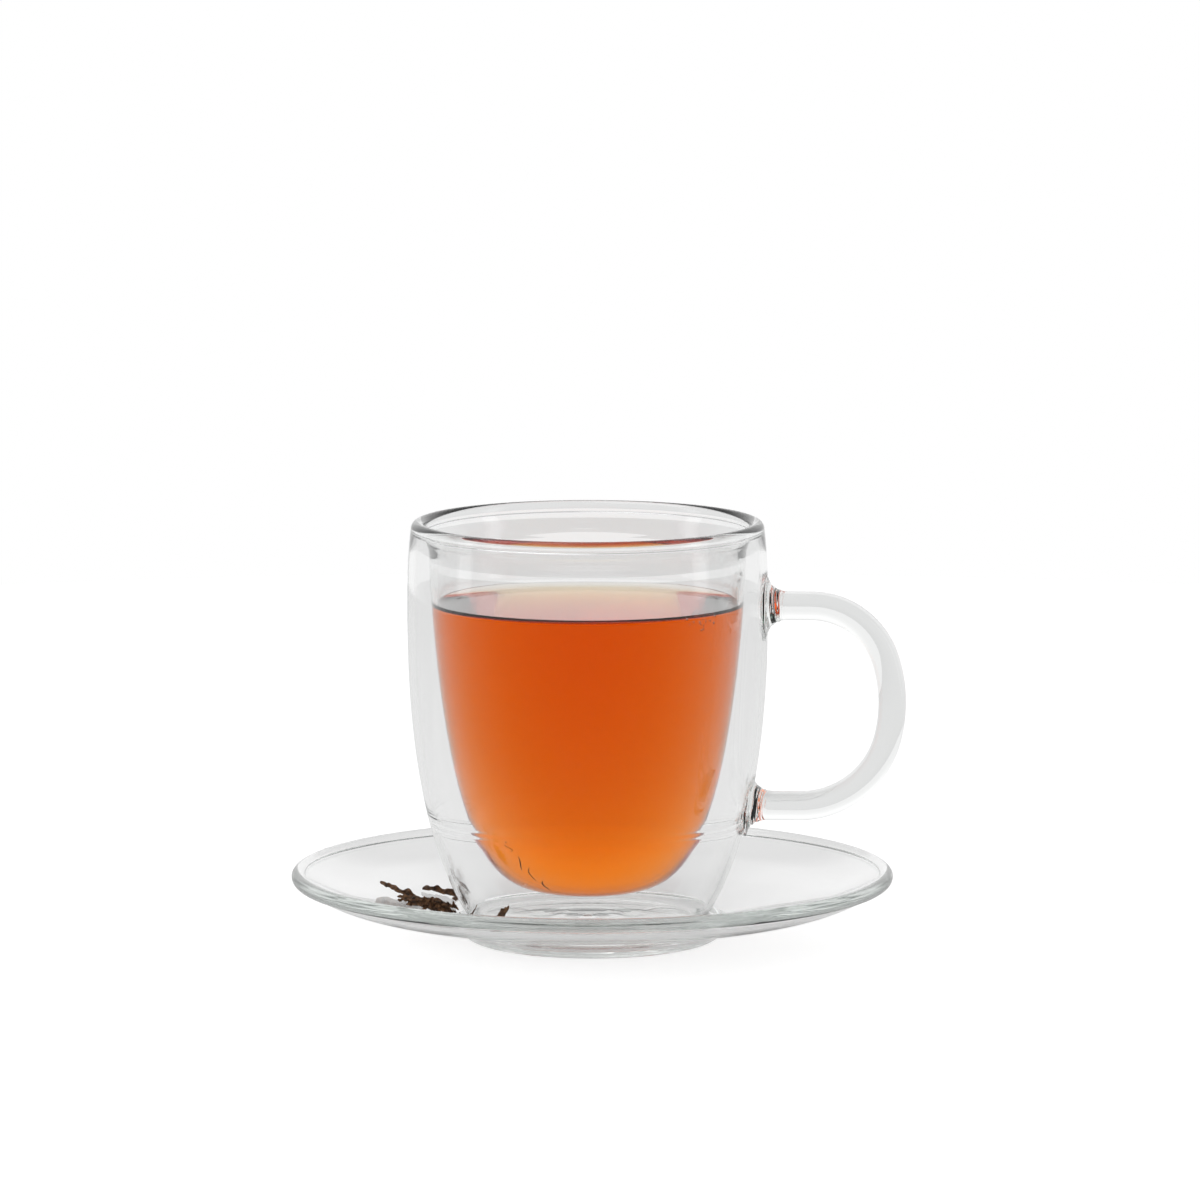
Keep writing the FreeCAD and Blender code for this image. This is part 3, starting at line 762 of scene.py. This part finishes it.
# %% The loose leaves
# shift of the middle from the frame's box, heading from the saucer's X axis, length, width,
# thickness, sideways bend, twist, lift of the end
loose_leaves = {
    "leaf_left": ((2.6, -0.6), 165.0, 10.2, 1.5, 1.0, 0.5, 260.0, 1.3),
    "leaf_back": ((0.2, -1.6), 178.0, 9.0, 1.7, 1.0, -0.3, 220.0, 0.2),
    "leaf_twig": ((0.0, 0.0), 287.0, 4.4, 0.9, 0.8, 0.1, 40.0, 1.8),
    "leaf_crumb": ((0.0, 0.0), 19.0, 2.6, 0.7, 0.6, 0.2, 120.0, 4.8),
    "leaf_front": ((0.0, 0.0), 355.0, 4.4, 2.0, 2.0, 0.3, 120.0, 5.2),
}
leaf_pieces = []
for name, (shift, heading, *habit) in loose_leaves.items():
    low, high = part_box(name)
    middle = ((low.x + high.x) / 2 / mm + shift[0], (low.y + high.y) / 2 / mm + shift[1])
    made = leaf_piece(name + "_rolled", [leaf_shape(middle, heading, *habit)])
    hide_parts(name)
    leaf_pieces.append(made)
    print(f"{made.name}: {len(made.data.polygons)} faces at {middle[0]:.1f}, {middle[1]:.1f}")

# %% [markdown]
# ## The little heap
#
# The heap is a tangle of the same rolled leaves with broken bits between them. A smaller core keeps
# daylight from showing through its middle; the leaves lie over it in two layers, most of them along
# the heap, and crumbs have fallen round its edge.

# %% The heap of leaves
heap_low, heap_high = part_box("leaf_heap")
heap_shift = (1.5, -2.6)
heap_middle = ((heap_low.x + heap_high.x) / 2 / mm + heap_shift[0],
               (heap_low.y + heap_high.y) / 2 / mm + heap_shift[1])
heap_length = (heap_high.x - heap_low.x) / mm
heap_width = (heap_high.y - heap_low.y) / mm


def heap_leaves():
    """The leaves of the heap, eight on the saucer and the others laid over them."""
    shapes = []
    for k in range(15):
        t = chance.uniform(-0.36, 0.36)
        s = chance.uniform(-0.3, 0.3) * math.sqrt(1 - 4 * t * t)
        at = (heap_middle[0] + t * heap_length, heap_middle[1] + s * heap_width)
        length = chance.uniform(3.4, 7.2) * (1 - 0.9 * abs(t))
        layer = 0.0 if k < 8 else chance.uniform(0.7, 1.5)
        points, faces = leaf_shape(at, chance.gauss(178, 26), length, chance.uniform(0.9, 1.5),
                                   chance.uniform(0.7, 1.0), chance.uniform(-0.5, 0.5),
                                   chance.uniform(120, 320), chance.uniform(0.0, 0.7), 30, 18)
        shapes.append(([p + Vector((0, 0, layer)) for p in points], faces))
    return shapes


def crumbs(count):
    """Broken bits of leaf round the heap."""
    shapes = []
    for _ in range(count):
        a = chance.uniform(0, 2 * math.pi)
        at = (heap_middle[0] + 0.42 * heap_length * math.cos(a),
              heap_middle[1] + 0.36 * heap_width * math.sin(a))
        shapes.append(leaf_shape(at, chance.uniform(0, 360), chance.uniform(0.7, 1.8),
                                 chance.uniform(0.4, 0.8), chance.uniform(0.3, 0.6), 0.05,
                                 90.0, 0.1, 10, 10))
    return shapes


core = leaf_shape(heap_middle, 184.0, 0.62 * heap_length, 2.2, 1.4, 0.5, 30.0, 0.0)
heap = leaf_piece("leaf_heap_rolled", [core] + heap_leaves() + crumbs(16))
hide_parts("leaf_heap")
leaf_pieces.append(heap)
print(f"heap of {len(heap.data.polygons)} faces")

# %% [markdown]
# ## What floats in the tea
#
# A few wisps of leaf hang low in the tea near the wall, and small bubbles cling where the surface
# meets the glass. They are tiny, but a liquid without them looks poured from a bottle.

# %% Wisps and bubbles
def ball(points, faces, centre, radius, n=10):
    """Adds a small round bubble to the lists."""
    start = len(points)
    for j in range(1, n):
        for k in range(2 * n):
            a, b = math.pi * j / n, math.pi * k / n
            way = Vector((math.sin(a) * math.cos(b), math.sin(a) * math.sin(b), math.cos(a)))
            points.append(centre + way * radius)
    top, bottom = len(points), len(points) + 1
    points += [centre + Vector((0, 0, radius)), centre - Vector((0, 0, radius))]
    for k in range(2 * n):
        m = (k + 1) % (2 * n)
        faces.append((top, start + k, start + m))
        faces.append((bottom, start + (n - 2) * 2 * n + m, start + (n - 2) * 2 * n + k))
        for j in range(n - 2):
            faces.append((start + j * 2 * n + k, start + (j + 1) * 2 * n + k,
                          start + (j + 1) * 2 * n + m, start + j * 2 * n + m))


bowl_side = wall_curve(inner_wall, bowl_glass, 90.0, 0.0)
bowl_heights, bowl_radii = [z for r, z in bowl_side], [r for r, z in bowl_side]


def bowl_radius(z):
    """The inner wall's inside radius at a level."""
    return float(np.interp(z, bowl_heights, bowl_radii))


def strand(points, faces, line, thick, n=7):
    """Adds a thin tapering tube along a line of points."""
    start = len(points)
    for j, p in enumerate(line):
        t = 2 * j / (len(line) - 1) - 1
        size = thick / 2 * (0.25 + 0.75 * (1 - t * t))
        for k in range(n):
            a = 2 * math.pi * k / n + 0.7 * j
            points.append(p + Vector((math.cos(a), 0.6 * math.sin(a), 0.8 * math.sin(a))) * size)
    for j in range(len(line) - 1):
        for k in range(n):
            m = (k + 1) % n
            here, onward = start + j * n, start + (j + 1) * n
            faces.append((here + k, here + m, onward + m, onward + k))
    for end in (start, start + (len(line) - 1) * n):
        faces.append(tuple(end + k for k in range(n)))


# bearing, lower and upper level, thickness
wisp_places = ((-128, 19.5, 23.0, 0.35), (-123, 17.2, 20.5, 0.3),
               (-117, 15.0, 17.4, 0.4), (-132, 24.0, 26.0, 0.25))
bubble_count, bubble_bearing, bubble_spread = 16, -38, 5.5

points, faces = [], []
for bearing, low_z, high_z, thick in wisp_places:
    line = []
    for j in range(12):
        z = low_z + (high_z - low_z) * j / 11
        a = math.radians(bearing + 1.6 * math.sin(0.42 * j + bearing))
        r = bowl_radius(z) - 1.0 - 0.5 * math.sin(0.5 * j)
        line.append(Vector((cup_middle + r * math.cos(a), r * math.sin(a), z)))
    strand(points, faces, line, thick)
wisps = piece("tea_wisps", outwards(mesh_of("tea_wisps", points, faces)))
leaf_pieces.append(wisps)

points, faces = [], []
for _ in range(bubble_count):
    bearing = math.radians(bubble_bearing + chance.gauss(0, bubble_spread))
    z = tea_level + climb * 0.4 - chance.uniform(0.2, 3.4)
    size = chance.uniform(0.12, 0.3)
    r = bowl_radius(z) - size - 0.05
    ball(points, faces, Vector((cup_middle + r * math.cos(bearing), r * math.sin(bearing), z)), size)
bubbles = piece("tea_bubbles", outwards(mesh_of("tea_bubbles", points, faces), flip=True))
print(f"{len(wisp_places)} wisps of {len(wisps.data.polygons)} faces,",
      f"{bubble_count} bubbles of {len(bubbles.data.polygons)}")

# %% [markdown]
# ## Glass
#
# Clear borosilicate bends light by 1.47 and takes almost nothing from it. Only where a ray runs a
# long way inside, as along a lip or a bead, does it pick up the grey-green of the melt, so the tint
# is an absorption in the volume. The surface keeps the faint waviness of hand-blown work as a very
# small bump.
#
# Full reflections on all four walls lay as a pale haze over the tea. They are turned down here,
# which real glass does not do: it is a choice of look. How much a face keeps is written on the face
# and read by the one material. A second material would be simpler to read, but a closed mesh needs
# one volume all over, or a ray loses count of what it is inside.

# %% The glass material
glass_bend, water_bend = 1.47, 1.333
melt_colour = (0.74, 0.79, 0.76)
blown_tint, pressed_tint = 18.0, 9.0
wave_scale, wave_height = 38.0, 0.00002
shine, front_shine = 0.06, 0.12  # share of the reflection that is kept: inside, on the outer wall
full_foot = 7.5                  # below this height the cup keeps it all, and so does the handle
wall_band, past_wall = 0.5, 0.4  # a face is on the outer wall this far inside and outside of it


def material(name):
    """A new material without nodes, its tree, and its makers of nodes and links."""
    made = bpy.data.materials.new(name)
    made.use_nodes = True
    tree = made.node_tree
    tree.nodes.clear()
    return made, tree, tree.nodes.new, tree.links.new


def clear_body(name, bend, colour, density):
    """A clear material that bends light, and colours it more the further it runs inside."""
    made, tree, node, link = material(name)
    output, surface = node("ShaderNodeOutputMaterial"), node("ShaderNodeBsdfPrincipled")
    surface.inputs["Base Color"].default_value = (1, 1, 1, 1)
    surface.inputs["Roughness"].default_value = 0.0
    surface.inputs["IOR"].default_value = bend
    surface.inputs["Transmission Weight"].default_value = 1.0
    inside = node("ShaderNodeVolumeAbsorption")
    inside.inputs["Color"].default_value = (*colour, 1)
    inside.inputs["Density"].default_value = density
    link(surface.outputs[0], output.inputs["Surface"])
    link(inside.outputs[0], output.inputs["Volume"])
    return made, surface


def clear_glass(name, tint):
    """Clear glass with the low waves of hand work."""
    made, surface = clear_body(name, glass_bend, melt_colour, tint)
    node, link = made.node_tree.nodes.new, made.node_tree.links.new
    place, noise, bump = node("ShaderNodeTexCoord"), node("ShaderNodeTexNoise"), node("ShaderNodeBump")
    noise.inputs["Scale"].default_value = wave_scale
    noise.inputs["Detail"].default_value = 2.0
    bump.inputs["Strength"].default_value = 1.0
    bump.inputs["Distance"].default_value = wave_height
    link(place.outputs["Object"], noise.inputs["Vector"])
    link(noise.outputs[0], bump.inputs["Height"])
    link(bump.outputs[0], surface.inputs["Normal"])
    return made, surface


def shine_of(face):
    """How much of its reflection a face of the cup keeps."""
    middle = face.center / mm
    radius = math.hypot(middle.x - cup_middle, middle.y)
    beside_tea = base + full_foot < middle.z < tea_level + climb
    if not beside_tea or radius > wall_radius(middle.z) + past_wall:
        return 1.0
    return front_shine if radius > wall_radius(middle.z) - wall_band else shine


shares = [shine_of(face) for face in cup.data.polygons]
cup.data.attributes.new("shine", "FLOAT", "FACE").data.foreach_set("value", shares)
blown_glass, surface = clear_glass("blown_glass", blown_tint)
reading = blown_glass.node_tree.nodes.new("ShaderNodeAttribute")
reading.attribute_name = "shine"
blown_glass.node_tree.links.new(reading.outputs["Fac"], surface.inputs["Specular Tint"])
cup.data.materials.append(blown_glass)
saucer.data.materials.append(clear_glass("pressed_glass", pressed_tint)[0])
print(f"{sum(share < 1 for share in shares)} of the cup's {len(shares)} faces reflect less")

# %% [markdown]
# ## Tea
#
# Black tea lets red through almost freely, holds back much of the green over the width of a cup,
# and nearly all of the blue. As an absorption it needs no painted gradient: the thin foot of the
# bowl comes out lighter than the full width by the depth alone.

# %% The tea material
tea_colour, tea_strength = (0.957, 0.70, 0.10), 125.0
bubble_colour = (1.0, 0.9, 0.7)


def liquid(name, colour, density):
    """A clear liquid with the same lowered reflection as the glass round it."""
    made, surface = clear_body(name, water_bend, colour, density)
    surface.inputs["Specular Tint"].default_value = (shine, shine, shine, 1)
    return made


tea.data.materials.append(liquid("black_tea", tea_colour, tea_strength))
bubbles.data.materials.append(liquid("bubble", bubble_colour, 0.0))
print(f"tea {tea_colour} at {tea_strength:.0f} per metre")

# %% [markdown]
# ## Dry leaf
#
# Dry tea is a brown that goes nearly black in places and is paler where it is worn. One fine noise
# mixes three tones and raises a small bump with them. The folds themselves are in the mesh.

# %% The leaf material
leaf_tones = ((0.32, (0.03, 0.014, 0.007)), (0.52, (0.17, 0.08, 0.033)), (0.72, (0.42, 0.22, 0.10)))


def dry_leaf(name):
    """The brown of a dry leaf."""
    made, tree, node, link = material(name)
    output, surface = node("ShaderNodeOutputMaterial"), node("ShaderNodeBsdfPrincipled")
    place, noise, bump = node("ShaderNodeTexCoord"), node("ShaderNodeTexNoise"), node("ShaderNodeBump")
    tones = node("ShaderNodeValToRGB")
    noise.inputs["Scale"].default_value = 900.0
    noise.inputs["Detail"].default_value = 6.0
    ramp = tones.color_ramp
    for element, (position, colour) in zip(ramp.elements, (leaf_tones[0], leaf_tones[2])):
        element.position = position
        element.color = (*colour, 1)
    ramp.elements.new(leaf_tones[1][0]).color = (*leaf_tones[1][1], 1)
    bump.inputs["Strength"].default_value = 0.7
    bump.inputs["Distance"].default_value = 0.00015
    surface.inputs["Roughness"].default_value = 0.62
    link(place.outputs["Object"], noise.inputs["Vector"])
    link(noise.outputs[0], tones.inputs[0])
    link(tones.outputs[0], surface.inputs["Base Color"])
    link(noise.outputs[0], bump.inputs["Height"])
    link(bump.outputs[0], surface.inputs["Normal"])
    link(surface.outputs[0], output.inputs["Surface"])
    return made


leaf_brown = dry_leaf("dry_leaf")
for each in leaf_pieces:
    each.data.materials.append(leaf_brown)
print(f"dry leaf on {len(leaf_pieces)} pieces")

# %% [markdown]
# ## The room
#
# Clear things are lit by what stands behind them: a pale sweep. The table and the world are white
# to the camera, and the table shows its own grey as well, so that the soft shadow stays. Mirrors
# and glass see something else: a table that is greyer, a little more so far away, and darker
# before the glass than behind it, and a world that is brightest just above level and darker high
# up and to the front. That difference is what draws the edges of clear glass. It was tuned until
# the edges looked right, and stands for no real room.

# %% The table
table_radius = 0.65
table_shade = 0.55               # its own grey, which carries the shadow
table_glow, table_glow_in_glass = 0.80, 0.42
table_fades, table_fall = (0.2, 0.6), 0.04   # in glass it loses this between these distances
table_front = 0.6                # its level before the glass, as a share
even_middle = (0.08, 0.2)        # nearer than this it has no front and back; then they blend in
bright_side = (-0.2, 0.8)        # bearings, as a share to the back, between which it brightens


def sum_node(node, operation, socket=None, value=None):
    """A Math node, with a fixed number in one of its sockets where one is given."""
    made = node("ShaderNodeMath")
    made.operation = operation
    if socket is not None:
        made.inputs[socket].default_value = value
    return made


def range_node(node, inwards, out):
    """A Map Range node from one pair of numbers to another."""
    made = node("ShaderNodeMapRange")
    made.inputs["From Min"].default_value, made.inputs["From Max"].default_value = inwards
    made.inputs["To Min"].default_value, made.inputs["To Max"].default_value = out
    return made


def white_floor():
    """White to the camera, greyer to mirrors and glass, with its own shade under both."""
    made, tree, node, link = material("white_floor")
    output, both = node("ShaderNodeOutputMaterial"), node("ShaderNodeAddShader")
    plain, glow = node("ShaderNodeBsdfDiffuse"), node("ShaderNodeEmission")
    seen, place = node("ShaderNodeLightPath"), node("ShaderNodeTexCoord")
    plain.inputs["Color"].default_value = (table_shade, table_shade, table_shade, 1)
    far, bearing = node("ShaderNodeVectorMath"), node("ShaderNodeVectorMath")
    far.operation, bearing.operation = "LENGTH", "NORMALIZE"
    parts, blend = node("ShaderNodeSeparateXYZ"), node("ShaderNodeMix")
    level = range_node(node, table_fades, (table_glow_in_glass, table_glow_in_glass - table_fall))
    behind = range_node(node, bright_side, (table_front, 1.0))
    away = range_node(node, even_middle, (0.0, 1.0))
    blend.inputs["A"].default_value = 1.0
    direct = sum_node(node, "MULTIPLY", 1, table_glow)
    shade, bent = sum_node(node, "MULTIPLY"), sum_node(node, "MULTIPLY")
    either, total = sum_node(node, "MAXIMUM"), sum_node(node, "ADD")
    link(place.outputs["Object"], far.inputs[0])
    link(place.outputs["Object"], bearing.inputs[0])
    link(far.outputs["Value"], level.inputs["Value"])
    link(far.outputs["Value"], away.inputs["Value"])
    link(bearing.outputs[0], parts.inputs[0])
    link(parts.outputs["Y"], behind.inputs["Value"])
    link(away.outputs[0], blend.inputs["Factor"])
    link(behind.outputs[0], blend.inputs["B"])
    link(blend.outputs["Result"], shade.inputs[0])
    link(level.outputs[0], shade.inputs[1])
    link(seen.outputs["Is Glossy Ray"], either.inputs[0])
    link(seen.outputs["Is Transmission Ray"], either.inputs[1])
    link(either.outputs[0], bent.inputs[0])
    link(shade.outputs[0], bent.inputs[1])
    link(seen.outputs["Is Camera Ray"], direct.inputs[0])
    link(direct.outputs[0], total.inputs[0])
    link(bent.outputs[0], total.inputs[1])
    link(total.outputs[0], glow.inputs["Strength"])
    link(plain.outputs[0], both.inputs[0])
    link(glow.outputs[0], both.inputs[1])
    link(both.outputs[0], output.inputs["Surface"])
    return made


def round_table(name, sides=128):
    """The flat disc that everything stands on."""
    points = [(0.0, 0.0, 0.0)]
    for k in range(sides):
        a = 2 * math.pi * k / sides
        points.append((table_radius * math.cos(a), table_radius * math.sin(a), 0.0))
    faces = [(0, 1 + k, 1 + (k + 1) % sides) for k in range(sides)]
    mesh = bpy.data.meshes.new(name)
    mesh.from_pydata(points, [], faces)
    made = bpy.data.objects.new(name, mesh)
    bpy.context.scene.collection.objects.link(made)
    made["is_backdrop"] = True
    return made


floor = round_table("floor")
floor.data.materials.append(white_floor())
print(f"table of radius {table_radius} m, {table_glow_in_glass} bright in glass")

# %% The world
front_level = 0.55               # the dark side of the room, behind the camera
# height of a ray's direction, from level 0 to straight up 1, and the grey that it meets
room_ends = ((0.0, 0.93), (1.0, 0.75))
room_levels = ((0.08, 0.98), (0.20, 1.10), (0.40, 1.05), (0.55, 0.65), (0.80, 0.65))


def studio_world():
    """White to the camera, and a graded grey room to every other ray."""
    world = bpy.data.worlds.new("studio")
    world.use_nodes = True
    tree = world.node_tree
    tree.nodes.clear()
    node, link = tree.nodes.new, tree.links.new
    output, mix = node("ShaderNodeOutputWorld"), node("ShaderNodeMixShader")
    white, room = node("ShaderNodeBackground"), node("ShaderNodeBackground")
    seen, place = node("ShaderNodeLightPath"), node("ShaderNodeTexCoord")
    parts, greys = node("ShaderNodeSeparateXYZ"), node("ShaderNodeValToRGB")
    front = range_node(node, bright_side, (front_level, 1.0))
    ramp = greys.color_ramp
    for element, (position, level) in zip(ramp.elements, room_ends):
        element.position = position
        element.color = (level, level, level, 1)
    for position, level in room_levels:
        ramp.elements.new(position).color = (level, level, level, 1)
    white.inputs["Color"].default_value = (1, 1, 1, 1)
    white.inputs["Strength"].default_value = 1.0
    link(place.outputs["Generated"], parts.inputs[0])
    link(parts.outputs["Z"], greys.inputs[0])
    link(parts.outputs["Y"], front.inputs["Value"])
    link(front.outputs[0], room.inputs["Strength"])
    link(greys.outputs[0], room.inputs["Color"])
    link(seen.outputs["Is Camera Ray"], mix.inputs[0])
    link(room.outputs[0], mix.inputs[1])
    link(white.outputs[0], mix.inputs[2])
    link(mix.outputs[0], output.inputs["Surface"])
    return world


bpy.context.scene.world = studio_world()
print(f"world of {len(room_ends) + len(room_levels)} greys")

# %% [markdown]
# ## Lamps
#
# One broad lamp overhead and to the left gives the soft shadow and a long highlight on the bends;
# two tall ones at the sides put a bright line down each wall.

# %% The lamps
aimed_at = Vector((0, 0, 0.05))  # the middle of the cup, in metres


def lamp(name, place_at, size, power, tall=None):
    """A soft rectangular lamp that looks at the cup; it is square where no height is given."""
    data = bpy.data.lights.new(name, "AREA")
    data.shape = "RECTANGLE"
    data.size = size
    data.size_y = tall or size
    data.energy = power
    made = bpy.data.objects.new(name, data)
    made.location = place_at
    made.rotation_euler = (aimed_at - Vector(place_at)).to_track_quat("-Z", "Y").to_euler()
    bpy.context.scene.collection.objects.link(made)
    print(f"{name}: {power} W over {data.size:.1f} by {data.size_y:.1f} m")


lamp("overhead", (-0.5, 0.2, 1.5), 0.9, 4.0)
lamp("left_wall", (-1.3, -0.2, 0.5), 0.3, 1.2, tall=1.2)
lamp("right_wall", (1.3, -0.2, 0.5), 0.3, 1.2, tall=1.2)

# %% [markdown]
# ## The camera
#
# The camera stands well back with a long lens, a little towards the handle's side, and looks down
# by under eight degrees, so that the rim and the saucer show as flat ellipses.

# %% The camera
camera_distance, camera_height, camera_aside = 1754.3, 316.4, 1.8
camera_round, camera_down = math.radians(4.0), math.radians(7.692)
lens_width, lens_length = 36.0, 229.15       # the sensor's width and the focal length
data = bpy.data.cameras.new("camera")
data.sensor_width, data.lens = lens_width, lens_length
data.clip_start, data.clip_end = 0.05, 50.0
camera = bpy.data.objects.new("camera", data)
sine, cosine = math.sin(camera_round), math.cos(camera_round)
camera.location = Vector((camera_distance * sine + camera_aside * cosine,
                          -camera_distance * cosine + camera_aside * sine, camera_height)) * mm
camera.rotation_euler = (math.pi / 2 - camera_down, 0.0, camera_round)
bpy.context.scene.collection.objects.link(camera)
bpy.context.scene.camera = camera
print(f"camera {camera.location.length:.2f} m away, lens {lens_length} mm")

# %% [markdown]
# ## Light through many walls
#
# A ray that crosses saucer, cup, tea and the far side again meets more than a dozen surfaces, and
# where the count runs out the picture goes black. Light that is totally reflected inside a lip or
# a bead counts as glossy, and it turns many times there, so that count is raised as well.

# %% View and ray depth
scene = bpy.context.scene
scene.view_settings.view_transform = "Standard"
depth = 32
scene.cycles.max_bounces = depth
scene.cycles.transmission_bounces = depth
scene.cycles.glossy_bounces = depth
print(f"rays followed through {depth} surfaces")

# %% Sizes, and the end
print("visual", corners())
